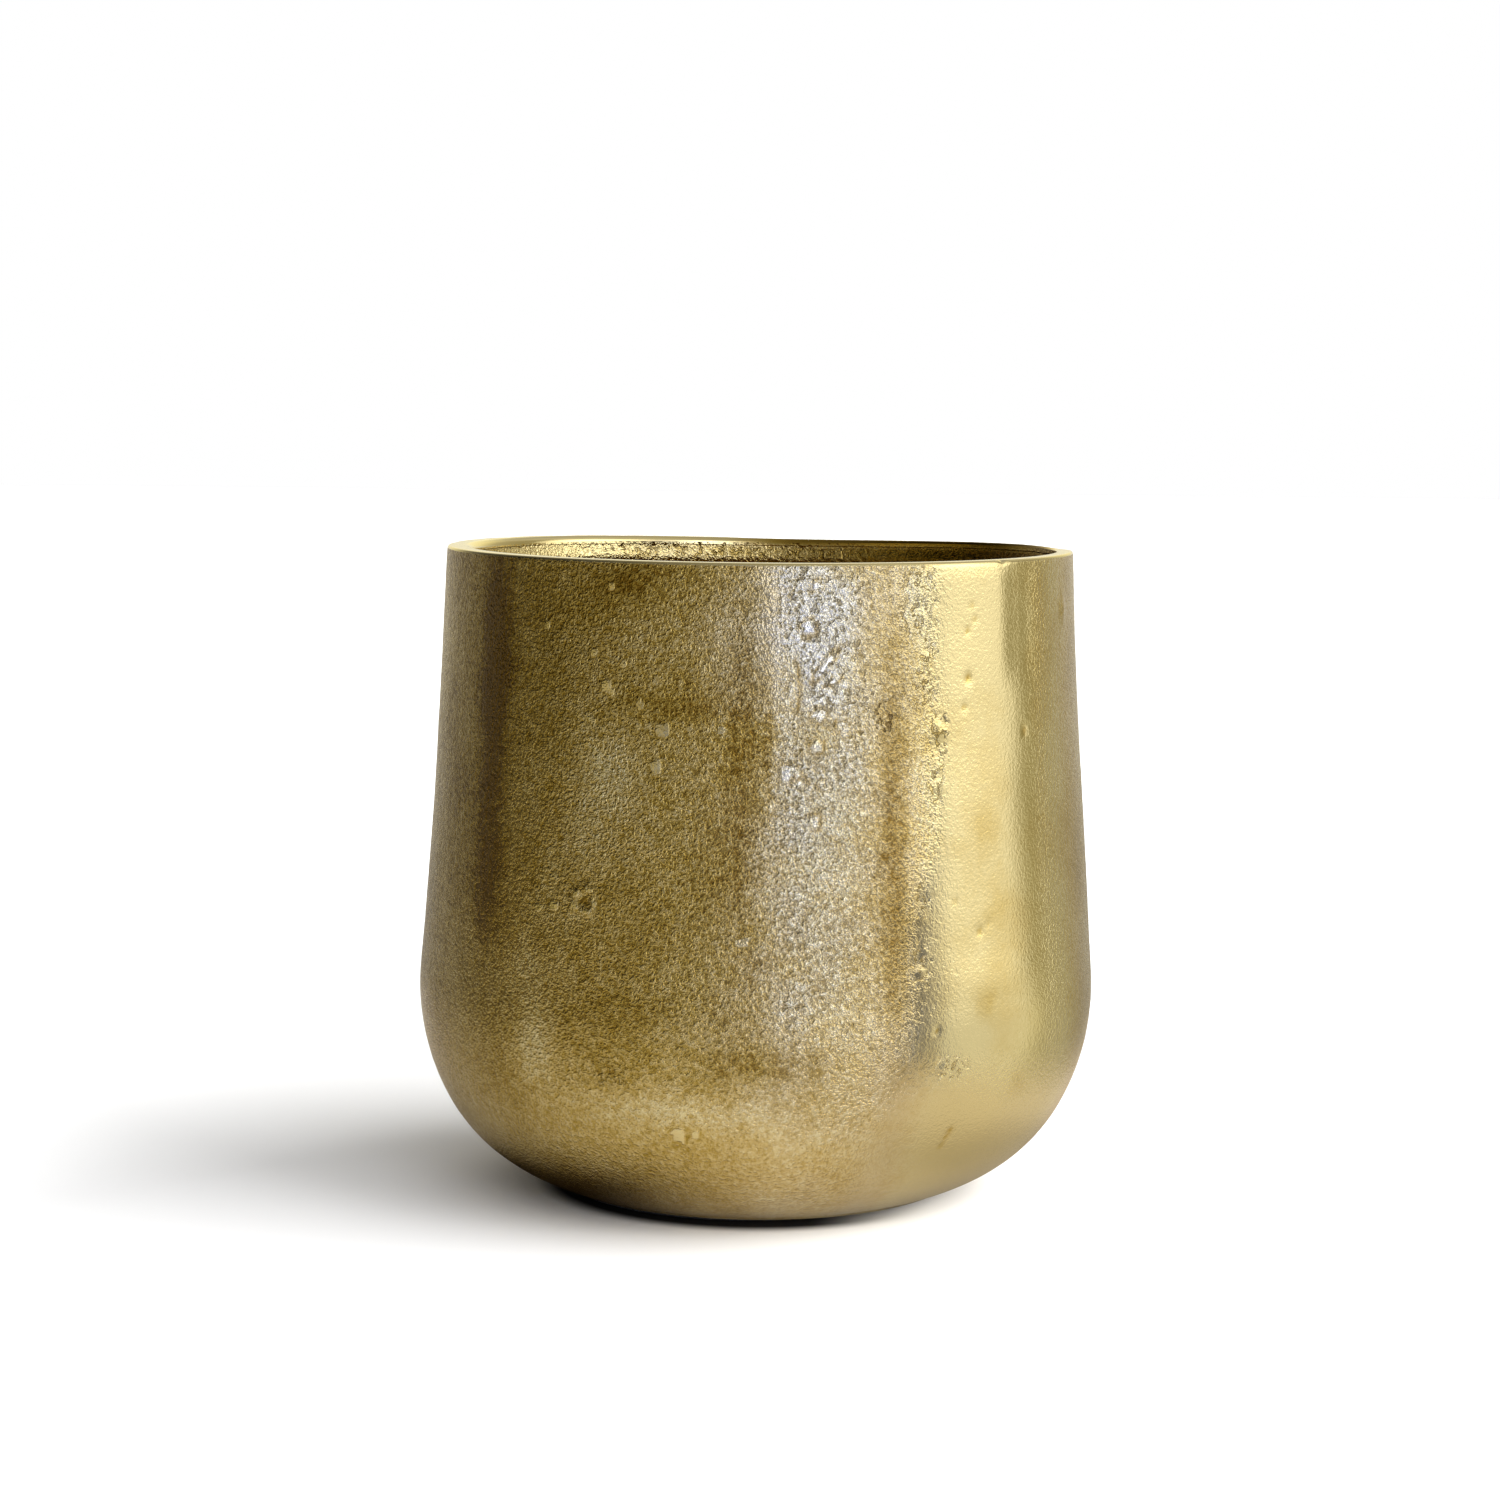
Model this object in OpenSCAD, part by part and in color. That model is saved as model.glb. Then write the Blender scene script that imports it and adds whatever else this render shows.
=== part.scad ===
// Cast brass planter pot on a glued felt disc.
// The side leans in with a slight hollow from a round belly to an open rim.
// Below the belly a bowl of two arcs runs down to a ground flat base.
// Origin: on the pot's axis, in the plane the felt rests on. +Z is up, sizes are in mm.

/* [Overall] */
// Height from the resting plane to the top of the rim
pot_h = 190; // [150:1:230]
// Largest outside diameter, at the belly
belly_d = 200; // [192:1:230]
// Outside diameter of the rim
rim_d = 184; // [160:1:188]

/* [Bowl] */
// Radius of the bowl's upper arc, just below the belly
bowl_upper_r = 70; // [60:1:80]
// Radius of the bowl's lower arc, next to the base
bowl_lower_r = 52; // [40:1:58]
// Angle below the belly at which the upper arc passes into the lower one
bowl_break = 27; // [15:1:45]
// Angle below the belly at which the lower arc meets the ground flat base
base_break = 77; // [65:1:84]
// Lean of the side from vertical where it leaves the bowl
side_lean = 4.8; // [4.2:0.1:7]

/* [Wall and lip] */
// Thickness of the cast wall
wall = 4; // [3:0.5:5]
// Thickness of the cast floor
floor_t = 5; // [4:0.5:8]
// Thickness of the lip, from the rim's outside to the mouth
lip_t = 6; // [5.5:0.5:8]
// Height of the lip, from its lower edge to the top of the rim
lip_h = 8; // [6:0.5:14]
// Rounding of the lip's inner top edge
lip_inner_round = 2.2; // [1:0.1:3]
// Rounding of the rim's outer top edge
rim_outer_round = 0.8; // [0.4:0.1:1.5]

/* [Felt disc] */
// Diameter of the felt disc
felt_d = 108; // [90:1:110]
// Thickness of the felt disc
felt_t = 2; // [1:0.5:4]
// Distance that the felt disc was glued off the pot's axis, along -X
felt_shift = 3; // [0:0.5:3]

/* [Hidden] */

arc_steps = 12;          // segments in each arc of the wall
edge_steps = 6;          // segments in each rounded edge
turn_fn = 180;           // facets shown around the pot
rim_r = rim_d / 2;
mouth_r = rim_r - lip_t;
base_z = felt_t;
floor_z = base_z + floor_t;

// Centres of the bowl's two arcs, as [radius, height]
lower_c = [
    belly_d / 2 - bowl_upper_r + (bowl_upper_r - bowl_lower_r) * cos(bowl_break),
    base_z + bowl_lower_r * sin(base_break)
];
upper_c = [
    belly_d / 2 - bowl_upper_r,
    lower_c.y + (bowl_upper_r - bowl_lower_r) * sin(bowl_break)
];

// The side is one hollow arc: it leaves the bowl at side_lean and ends at the rim
side_foot = upper_c + bowl_upper_r * [cos(side_lean), sin(side_lean)];
side_top = [rim_r, pot_h];
chord_lean = atan2(side_foot.x - side_top.x, side_top.y - side_foot.y);
side_turn = 2 * (side_lean - chord_lean);
side_r = norm(side_top - side_foot) / (2 * sin(side_turn / 2));
side_c = side_foot + side_r * [cos(side_lean), sin(side_lean)];

// Points on an arc about centre c, from angle a0 to angle a1
function arc(c, r, a0, a1, steps) =
    [for (i = [0 : steps]) let (a = a0 + (a1 - a0) * i / steps) c + r * [cos(a), sin(a)]];

// Points in reverse order
function reversed(points) = [for (i = [len(points) - 1 : -1 : 0]) points[i]];

// The wall's line at a distance inside the outer surface, from height z0 up to height z1
function wall_line(inset, z0, z1) =
    let (
        foot_a = -asin((lower_c.y - z0) / (bowl_lower_r - inset)),
        top_a = 180 + asin((side_c.y - z1) / (side_r + inset))
    )
    concat(
        arc(lower_c, bowl_lower_r - inset, foot_a, -bowl_break, arc_steps),
        arc(upper_c, bowl_upper_r - inset, -bowl_break, side_lean, arc_steps),
        arc(side_c, side_r + inset, 180 + side_lean, top_a, arc_steps)
    );

// Outer half of the section: ground base, bowl, side and rounded rim
function outer_line() =
    concat(
        [[0, base_z]],
        wall_line(0, base_z, pot_h - rim_outer_round),
        arc([rim_r - rim_outer_round, pot_h - rim_outer_round], rim_outer_round, 0, 90, edge_steps)
    );

// Inner half of the section: rounded lip, straight mouth, set-back wall and floor
function inner_line() =
    concat(
        arc([mouth_r + lip_inner_round, pot_h - lip_inner_round], lip_inner_round, 90, 180, edge_steps),
        [[mouth_r, pot_h - lip_h + lip_t - wall]],
        reversed(wall_line(wall, floor_z, pot_h - lip_h)),
        [[0, floor_z]]
    );

// The casting: wall, floor and lip in one piece
module pot_shell() {
    color("goldenrod")
        rotate_extrude($fn = turn_fn)
            polygon(concat(outer_line(), inner_line()));
}

// Black felt glued under the ground base, a little off the axis as it was placed by hand
module felt_base_disc() {
    color([0.08, 0.08, 0.08])
        translate([-felt_shift, 0, 0])
            cylinder(d = felt_d, h = felt_t, $fn = turn_fn);
}

pot_shell();
felt_base_disc();
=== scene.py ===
import math

import bpy
import numpy as np
from mathutils import Matrix, Vector


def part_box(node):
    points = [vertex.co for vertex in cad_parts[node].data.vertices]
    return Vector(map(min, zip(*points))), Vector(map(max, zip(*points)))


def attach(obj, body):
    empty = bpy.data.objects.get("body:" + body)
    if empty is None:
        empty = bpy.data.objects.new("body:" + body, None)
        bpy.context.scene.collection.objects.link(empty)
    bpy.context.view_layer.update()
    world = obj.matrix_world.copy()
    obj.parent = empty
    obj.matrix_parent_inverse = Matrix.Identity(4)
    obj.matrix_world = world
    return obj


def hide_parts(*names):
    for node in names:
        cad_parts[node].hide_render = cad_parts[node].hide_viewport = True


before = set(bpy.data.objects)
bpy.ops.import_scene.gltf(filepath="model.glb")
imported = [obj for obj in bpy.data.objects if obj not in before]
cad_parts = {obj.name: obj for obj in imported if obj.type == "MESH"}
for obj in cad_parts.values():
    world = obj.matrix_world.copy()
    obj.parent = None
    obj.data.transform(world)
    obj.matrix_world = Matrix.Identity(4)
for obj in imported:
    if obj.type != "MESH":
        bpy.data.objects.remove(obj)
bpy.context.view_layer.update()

# ---------------------------------------------------------------------------
# Driving dimensions. Millimetres, as in the CAD section, and degrees.
# Azimuth is 0 at the side that faces the camera (-Y) and grows towards +X.
# ---------------------------------------------------------------------------
MM = 0.001
SHELL_LO, SHELL_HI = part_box("pot_shell")
FELT_LO, FELT_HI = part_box("felt_base_disc")

BASE_Z = SHELL_LO[2] / MM                      # underside of the casting
RIM_Z = SHELL_HI[2] / MM                       # top of the rim
BELLY_R = (SHELL_HI[0] - SHELL_LO[0]) / MM / 2
RIM_R = BELLY_R * 0.92
WALL = 4.0
FLOOR_T = 5.0
LIP_T = 6.0
LIP_H = 8.0
LIP_TAPER = 6.0          # height over which the cast lip swells out of the inner wall
LIP_INNER_ROUND = 2.2
LIP_DRAFT = 0.6          # how much the lip's inner face leans in over its height
LIP_UNEVEN = 1.2         # how much the lip's thickness differs from its mean at the two sides
RIM_OUTER_ROUND = 0.8
BASE_EDGE_ROUND = 0.7
BOWL_UPPER_R = 70.0
BOWL_LOWER_R = 52.0
BOWL_BREAK = math.radians(27)
BASE_BREAK = math.radians(77)
SIDE_LEAN = math.radians(4.8)


# ---------------------------------------------------------------------------
# Section of the pot: arcs as lists of [radius, height]
# ---------------------------------------------------------------------------
def arc(centre, radius, a0, a1, step):
    """Points about `step` mm apart on an arc, from angle a0 to angle a1."""
    count = max(2, int(round(abs(a1 - a0) * abs(radius) / step)))
    angles = np.linspace(a0, a1, count + 1)
    return np.array(centre) + radius * np.stack([np.cos(angles), np.sin(angles)], axis=1)


def line(start, end, step):
    """Points about `step` mm apart on a straight stretch."""
    start, end = np.array(start, float), np.array(end, float)
    count = max(1, int(round(np.linalg.norm(end - start) / step)))
    return start + (end - start) * np.linspace(0, 1, count + 1)[:, None]


LOWER_C = np.array([
    BELLY_R - BOWL_UPPER_R + (BOWL_UPPER_R - BOWL_LOWER_R) * math.cos(BOWL_BREAK),
    BASE_Z + BOWL_LOWER_R * math.sin(BASE_BREAK),
])
UPPER_C = np.array([
    BELLY_R - BOWL_UPPER_R,
    LOWER_C[1] + (BOWL_UPPER_R - BOWL_LOWER_R) * math.sin(BOWL_BREAK),
])
LEAN_DIR = np.array([math.cos(SIDE_LEAN), math.sin(SIDE_LEAN)])
SIDE_FOOT = UPPER_C + BOWL_UPPER_R * LEAN_DIR
SIDE_CHORD = np.array([RIM_R, RIM_Z]) - SIDE_FOOT
SIDE_TURN = 2 * (SIDE_LEAN - math.atan2(-SIDE_CHORD[0], SIDE_CHORD[1]))
SIDE_R = np.linalg.norm(SIDE_CHORD) / (2 * math.sin(SIDE_TURN / 2))
SIDE_C = SIDE_FOOT + SIDE_R * LEAN_DIR


def wall_line(inset, z0, z1, step):
    """The wall's line at `inset` inside the outer surface, from height z0 up to height z1."""
    foot = -math.asin((LOWER_C[1] - z0) / (BOWL_LOWER_R - inset))
    top = math.pi + math.asin((SIDE_C[1] - z1) / (SIDE_R + inset))
    return np.concatenate([
        arc(LOWER_C, BOWL_LOWER_R - inset, foot, -BOWL_BREAK, step),
        arc(UPPER_C, BOWL_UPPER_R - inset, -BOWL_BREAK, SIDE_LEAN, step)[1:],
        arc(SIDE_C, SIDE_R + inset, math.pi + SIDE_LEAN, top, step)[1:],
    ])


OUTER_STEP = 1.15
INNER_STEP = 2.6


def section():
    """The whole section, from the underside's centre round to the floor's centre, and each point's zone.

    Zones: 0 ground base, 1 outer wall, 2 ground rim, 3 inner wall and floor."""
    mouth_r = RIM_R - LIP_T
    outer = wall_line(0, BASE_Z + BASE_EDGE_ROUND, RIM_Z - RIM_OUTER_ROUND, OUTER_STEP)
    inner = wall_line(WALL, BASE_Z + FLOOR_T, RIM_Z - LIP_H - LIP_TAPER, INNER_STEP)[::-1]
    parts = [
        (0, line([4.0, BASE_Z], [outer[0][0] - BASE_EDGE_ROUND, BASE_Z], 7.0)),
        (1, outer),
        (2, arc([RIM_R - RIM_OUTER_ROUND, RIM_Z - RIM_OUTER_ROUND], RIM_OUTER_ROUND,
                0.3, math.pi / 2, 0.35)),
        (2, line([RIM_R - RIM_OUTER_ROUND, RIM_Z], [mouth_r + LIP_INNER_ROUND, RIM_Z], 0.8)[1:]),
        (2, arc([mouth_r + LIP_INNER_ROUND, RIM_Z - LIP_INNER_ROUND], LIP_INNER_ROUND,
                math.pi / 2, math.pi, 0.6)[1:]),
        (3, line([mouth_r, RIM_Z - LIP_INNER_ROUND - 1.0],
                 [mouth_r - LIP_DRAFT, RIM_Z - LIP_H + 1.6], 1.2)),
        (3, line([mouth_r + 0.3 - LIP_DRAFT, RIM_Z - LIP_H], inner[0] + (-0.3, 1.2), 1.6)),
        (3, inner),
        (3, line([inner[-1][0] - 4.0, BASE_Z + FLOOR_T], [4.0, BASE_Z + FLOOR_T], 5.0)),
    ]
    points = np.concatenate([p for _, p in parts])
    zones = np.concatenate([np.full(len(p), z) for z, p in parts])
    return points, zones


# ---------------------------------------------------------------------------
# Smooth seeded noise on points in millimetres
# ---------------------------------------------------------------------------
def lattice(ix, iy, iz, seed):
    """A fixed pseudo-random value from -1 to 1 for each lattice point."""
    mask = np.int64(0xFFFFFFFF)
    n = (ix * 374761393 + iy * 668265263 + iz * 1274126177 + seed * 974634777) & mask
    n = ((n ^ (n >> 13)) * 1274126177) & mask
    n = ((n ^ (n >> 16)) * 2246822519) & mask
    return ((n ^ (n >> 15)) & 0xFFFF) / 32767.5 - 1.0


def noise(points, size, seed):
    """Smooth value noise from about -1 to 1, with features `size` mm across."""
    p = points / size
    cell = np.floor(p).astype(np.int64)
    f = p - cell
    f = f * f * f * (f * (f * 6 - 15) + 10)
    total = np.zeros(len(points))
    for dx in (0, 1):
        for dy in (0, 1):
            for dz in (0, 1):
                weight = (f[:, 0] if dx else 1 - f[:, 0]) * (f[:, 1] if dy else 1 - f[:, 1])
                weight = weight * (f[:, 2] if dz else 1 - f[:, 2])
                total += weight * lattice(cell[:, 0] + dx, cell[:, 1] + dy, cell[:, 2] + dz, seed)
    return total


def smooth(x, lo, hi):
    """0 below lo, 1 above hi, and a smooth step between."""
    t = np.clip((x - lo) / (hi - lo), 0, 1)
    return t * t * (3 - 2 * t)


# ---------------------------------------------------------------------------
# Pot
# ---------------------------------------------------------------------------
BACK_STEP = 2.2        # degrees between the mesh's columns at the back
FRONT_STEP = 0.62      # and at the front, where the casting marks are

# Listed marks. Azimuth in degrees, height and sizes in mm.
PLATES = [  # flat flakes worn bright: azimuth, height, radius
    (-16, 145, 2.3), (-6, 145, 1.7), (-17, 135, 2.0), (-26, 156, 2.7), (-29, 165, 1.6),
    (-20, 151, 1.6), (-39, 172, 1.6), (-26, 183, 2.0), (-23, 162, 1.5), (10, 149, 2.2),
    (5, 134, 2.5), (14, 146, 1.8), (-38, 94, 1.5), (-35, 95, 1.9), (-13, 33, 2.4), (-10, 34, 1.9),
    (-2, 88, 2.0), (9.6, 184, 1.6), (8.4, 173, 2.2), (9.6, 141, 1.7), (9, 121, 1.9),
    (6.8, 131, 1.3), (118, 120, 2.2), (141, 66, 2.6), (-150, 140, 2.4), (-127, 88, 2.0),
    (172, 104, 1.8),
]
PITS = [  # small blowholes: azimuth, height, radius, depth
    (39, 178, 0.7, 0.2), (39.6, 174, 0.7, 0.22), (38, 171, 0.8, 0.25), (38, 158, 1.0, 0.4),
    (37, 150, 0.8, 0.3), (52, 142, 1.0, 0.3), (39, 88, 1.0, 0.3), (41, 90, 0.8, 0.25),
    (35.4, 32, 0.9, 0.35), (35.0, 30, 0.8, 0.3), (34.6, 27.5, 0.8, 0.3), (18.6, 45.5, 0.8, 0.8),
    (-7.4, 31.7, 0.7, 0.5), (30, 62, 0.6, 0.4), (21, 121, 0.8, 0.4), (24, 112, 0.6, 0.3),
    (-76, 141, 0.8, 0.5), (34, 97, 0.6, 0.3), (-11, 47, 0.6, 0.3), (-19, 50, 0.6, 0.3),
    (96, 150, 1.2, 0.5), (131, 132, 1.0, 0.5), (-104, 70, 1.2, 0.6), (-163, 118, 1.1, 0.5),
    (158, 44, 1.1, 0.6),
]
PITTED = [  # patches of coarse pitting: azimuth, height, half width, half height
    (28, 184.5, 4.6, 4), (27.5, 175.5, 5.6, 5.5), (29.5, 166, 2.4, 5), (28.7, 156, 3, 6),
    (31.5, 141, 2.6, 9), (21, 148, 3.6, 6), (30.5, 129, 2.4, 5), (27, 81, 2.6, 5),
    (27.5, 98, 1.8, 6), (33, 51, 5, 3),
    (-24, 50, 7, 4), (124, 176, 8, 6), (-140, 60, 9, 6),
]
# Light and dark areas. Some are stains in the patina. The rest are painted shade and painted highlights that
# shape the reflections: the dark stripe at azimuth -52, the pale band low at the front (-14, 41) and the dark
# line above it (3.5, 55), the lighter areas at azimuths 10 to 12 and at (29, 178), the darker strip at
# azimuths 17 to 23, and (39.5, 68), (44, 84), (49, 43), (57, 42), (56, 118), (58, 165) and (58, 178) round
# the bright band at the right.
STAINS_AND_PAINTED_SHADING = [  # darker (+) and lighter (-) areas: azimuth, height, half width, half height, strength
    (-24, 132, 7, 11, -0.30), (-23, 184, 9, 5, 0.20), (-12, 151, 17, 4, 0.22),
    (-41, 78, 5, 9, -0.20), (-38, 57, 6, 13, -0.30), (-14, 41, 26, 7, -0.25),
    (-34, 94, 9, 6, -0.18), (-20, 67, 14, 7, 0.15), (41, 116, 6, 4, 0.15), (35, 112, 4, 3, 0.10),
    (-27, 165, 14, 10, -0.08), (58, 178, 5, 12, 0.15), (12, 168, 9, 18, -0.30),
    (11, 108, 9, 34, -0.22), (4, 118, 4, 14, 0.10), (-52, 160, 10, 34, 0.15),
    (29, 178, 7, 10, -0.45), (-52, 165, 8, 32, 0.46), (-51, 112, 7, 36, 0.42),
    (22.5, 96, 4, 60, 0.10), (44, 84, 9, 38, 0.15), (-2, 135, 5, 45, 0.22), (57, 42, 8, 26, -0.25),
    (3.5, 55, 15, 5, 0.28), (39.5, 68, 4, 5, 0.18), (58, 165, 9, 30, 0.22), (56, 118, 8, 30, 0.14),
    (22.5, 110, 6.5, 70, 0.31), (-29.5, 122, 7, 24, -0.18), (-36, 104, 4, 8, -0.20),
    (49, 43, 5, 6, 0.15), (-36, 182, 22, 12, 0.10), (10, 172, 7, 18, -0.38),
    (1.5, 150, 1.8, 24, 0.25), (17, 170, 3, 16, 0.15), (23, 130, 5, 50, 0.14),
    (-7, 106, 8, 16, 0.10), (110, 140, 20, 14, -0.2), (160, 70, 24, 16, -0.2),
    (-130, 150, 20, 20, -0.18),
]
SWELLS = [  # broad hand-finished swells and dents: azimuth, height, half width, half height, lift
    (42, 74, 22, 7, 0.30), (33, 45, 7, 8, 0.35), (45, 35, 9, 9, 0.40), (67, 58, 13, 26, 0.40),
    (38.5, 58, 3.5, 8, -0.20), (44.5, 55, 6, 5, -0.12), (12, 178, 8, 12, 0.20),
    (3, 120, 6, 40, 0.10), (19, 120, 6, 60, -0.12), (-12, 68, 20, 8, 0.25), (-30, 140, 16, 20, 0.2),
    (120, 90, 26, 14, 0.3), (-150, 60, 22, 12, 0.3), (170, 150, 24, 20, 0.25),
    (-105, 120, 18, 24, 0.25),
]
CHIPS = [  # nicks in the rim's outer edge: azimuth, half width, depth
    (47, 1.2, 0.55), (-150, 2.4, 0.5), (-137, 1.6, 0.4), (-96, 1.4, 0.35), (-121, 3.0, 0.35), (128, 1.8, 0.4),
]
CURVED_MARKS = [  # runs and creases on an arc: azimuth, height, radius, middle and half spread in degrees
    (11.5, 96, 9.5, 80, 34), (-1, 156, 24, 2, 24), (150, 110, 15, 60, 40),
]
CREASE_AT = -1         # azimuth of the one that is a crease, not a run


def column_azimuths():
    """Azimuths of the mesh's columns, closer together at the front."""
    out, a = [], -180.0
    while a < 180.0 - 1e-6:
        out.append(a)
        a += BACK_STEP + (FRONT_STEP - BACK_STEP) * float(smooth(np.array(-abs(a)), -92, -66))
    return np.radians((np.array(out) + 180.0) * 360.0 / (a + 180.0) - 180.0)


def turn_from(azimuth, degrees):
    """Signed angle in degrees from a mark's azimuth to each column."""
    return (np.degrees(azimuth) - degrees + 180) % 360 - 180


def rim_sag(azimuth):
    """How much lower the hand-ground rim is than its highest point, in mm."""
    return 1.75 * np.exp(-(turn_from(azimuth, 170) / 44) ** 2)


class Wall:
    """The outer wall unrolled: each point's place across and up the surface, in mm."""

    def __init__(self, outline, zones, azimuths):
        steps = np.linalg.norm(np.diff(outline, axis=0), axis=1)
        self.up = np.concatenate([[0], np.cumsum(steps)])
        self.outer = zones == 1
        self.azimuth = np.broadcast_to(azimuths, (len(outline), len(azimuths)))
        self.radius = outline[:, :1]
        self.height = outline[:, 1]
        self.side = np.where(self.outer, 1.0, 0.0)[:, None]

    def about(self, degrees, height):
        """Distances across and up the surface from one place on the outer wall."""
        up = np.interp(height, self.height[self.outer], self.up[self.outer])
        across = np.radians(turn_from(self.azimuth, degrees)) * self.radius
        return across, self.up[:, None] - up + np.zeros_like(across)


def blob(across, up, size, seed):
    """1 inside an uneven patch about `size` mm in radius, 0 outside, with a short slope between."""
    where = np.stack([across.ravel(), up.ravel(), np.full(across.size, seed * 7.3)], axis=1)
    ragged = noise(where, 1.9, seed)
    distance = np.hypot(across, up) + 0.6 * ragged.reshape(across.shape) * min(size, 2.0)
    return smooth(size - distance, -0.45, 0.35)


def add_marks(wall, height, clean, dirt_and_edge_shade, coarse):
    """Raise and sink the listed marks, and note where the metal is worn clean, dirty or coarse."""
    def put(mask, lift, wear=0.0, grime=0.0):
        mask = mask * wall.side
        height[:] += mask * lift
        clean[:] = np.maximum(clean, mask * wear)
        dirt_and_edge_shade[:] = np.maximum(dirt_and_edge_shade, mask * grime)

    for i, (degrees, z, size) in enumerate(PLATES):
        across, up = wall.about(degrees, z)
        inside = blob(across, up, 0.85 * size, 11 + i)
        rim = blob(across, up, 0.85 * size + 0.9, 11 + i) - inside
        tilt = 0.05 * (across + up)
        put(inside, 0.16 + np.clip(tilt, -0.12, 0.12), wear=0.8)
        put(rim, -0.1, grime=0.75)
    for degrees, z, size, depth in PITS:
        across, up = wall.about(degrees, z)
        put(np.exp(-(across ** 2 + (up * 0.8) ** 2) / size ** 2), -depth, grime=min(1.0, 1.6 * depth))
    for degrees, z, wide, high in PITTED:
        across, up = wall.about(degrees, z)
        mask = np.exp(-((across / wide) ** 2 + (up / high) ** 2) ** 1.5)
        where = np.stack([across.ravel(), up.ravel(), np.full(across.size, z * 1.7)], axis=1)
        rough = noise(where, 2.4, int(z)).reshape(across.shape)
        put(mask * rough, 0.34)
        coarse[:] = np.maximum(coarse, mask * wall.side)

    # a crater: a broken ring of flashing round a shallow hollow
    across, up = wall.about(-29, 97)
    angle = np.arctan2(up, across)
    reach = np.hypot(across, up * 1.08) + 0.35 * np.sin(3 * angle + 1) + 0.25 * np.sin(7 * angle)
    broken = 0.72 + 0.28 * np.sin(5 * angle + 2)
    put(np.exp(-((reach - 3.4) / 0.95) ** 2) * broken, 0.55, wear=1.0)
    put(smooth(2.5 - reach, 0, 1.4), -0.3, grime=0.9)
    put(np.exp(-((reach - 5.6) / 0.8) ** 2), -0.05, grime=0.4)
    put(np.exp(-(np.hypot(across, up - 6.2) / 2.2) ** 2), -0.12, grime=0.6)

    # a long blister rising to the right, and its small neighbour
    for degrees, z, length, width, lean in ((11, 162.5, 4.2, 1.1, 52), (12.4, 158.5, 2.0, 0.7, 30)):
        across, up = wall.about(degrees, z)
        c, s = math.cos(math.radians(lean)), math.sin(math.radians(lean))
        along, off = across * c + up * s, up * c - across * s
        reach = 1 - np.hypot(along / length, off / width)
        put(smooth(reach, -0.15, 0.45), 0.6, wear=1.0)
        put(smooth(reach, -1.0, -0.3) * smooth(-reach, -0.1, 0.3), -0.15, grime=0.85)

    # a curved run of metal below it, an old crease beside it and one more run at the back
    for degrees, z, radius, centre, spread in CURVED_MARKS:
        aside = math.degrees(radius / 100 * math.cos(math.radians(centre))) * 0.5
        across, up = wall.about(degrees - aside, z)
        angle = np.degrees(np.arctan2(up, across))
        line_mask = np.exp(-((np.hypot(across, up) - radius) / 0.75) ** 2)
        line_mask = line_mask * smooth(spread - abs(angle - centre), 0, 9)
        if degrees == CREASE_AT:
            put(line_mask, -0.3, grime=0.9)
        else:
            put(line_mask, 0.3, wear=0.7)

    # a low oval bump on the right
    across, up = wall.about(69, 174.6)
    put(np.exp(-((across / 2.2) ** 2 + (up / 3.6) ** 2)), 0.4)


def add_swells(wall, height):
    """Broad swells and dents left by hand finishing, and the step where the upper right was filed flat."""
    for degrees, z, wide, high, lift in SWELLS:
        across, up = wall.about(degrees, z)
        height[:] += lift * wall.side * np.exp(-((across / wide) ** 2 + (up / high) ** 2))
    across, up = wall.about(48, 158)
    height[:] -= 0.28 * wall.side * smooth(across, -4, 4) * smooth(-across, -16, -8) * smooth(up, -6, 6)


def patina_map(azimuth, z):
    """How much brown patina each part keeps: thick on the left, thin where the right was polished."""
    degrees = np.degrees(azimuth)
    left = smooth(-degrees, -6, 6) * smooth(degrees, -150, -110)
    middle = smooth(degrees, -4, 6) * smooth(-degrees, -32, -22)
    right = smooth(degrees, 24, 34) * smooth(-degrees, -74, -58)
    far = 1 - left - middle - right
    kept = 0.58 * left + 0.36 * middle - 0.02 * right + 0.42 * np.clip(far, 0, 1)
    return kept - 0.12 * smooth(-z, -52, -30)


def add_stains_and_painted_shading(wall, patina):
    """Shift the patina in the listed light and dark areas: stains, painted shade and painted highlights."""
    for degrees, z, wide, high, strength in STAINS_AND_PAINTED_SHADING:
        across, up = wall.about(degrees, z)
        patina[:] += strength * wall.side * np.exp(-((across / wide) ** 2 + (up / high) ** 2) ** 1.4)


def grain_map(azimuth, z):
    """How strongly the sand grain shows: full on the front left, faint where the right was polished."""
    degrees = np.degrees(azimuth)
    start = degrees + 1.5 * smooth(-z, -115, -85)
    polished = smooth(start, 26, 33) * (1 - 0.3 * smooth(degrees, 52, 58)) * smooth(-degrees, -88, -68)
    silver = np.exp(-((degrees - 9) / 9) ** 2) * smooth(z, 60, 85)
    beside = np.exp(-((degrees - 23) / 5) ** 2)
    bare = np.exp(-((degrees - 1.5) / 2.4) ** 2) * smooth(z, 138, 160)
    bare = bare + 0.8 * np.exp(-((degrees - 27) / 4) ** 2) * smooth(-z, -118, -95)
    silver = silver * (1 - 1.3 * smooth(z, 140, 165))
    low = smooth(-z, -46, -28) * (1 - polished)
    return np.clip(0.54 + 0.20 * silver - 0.22 * beside - 0.3 * bare - 0.485 * polished - 0.11 * low,
                   0.055 + 0.1 * smooth(-z, -60, -45), 1)


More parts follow.
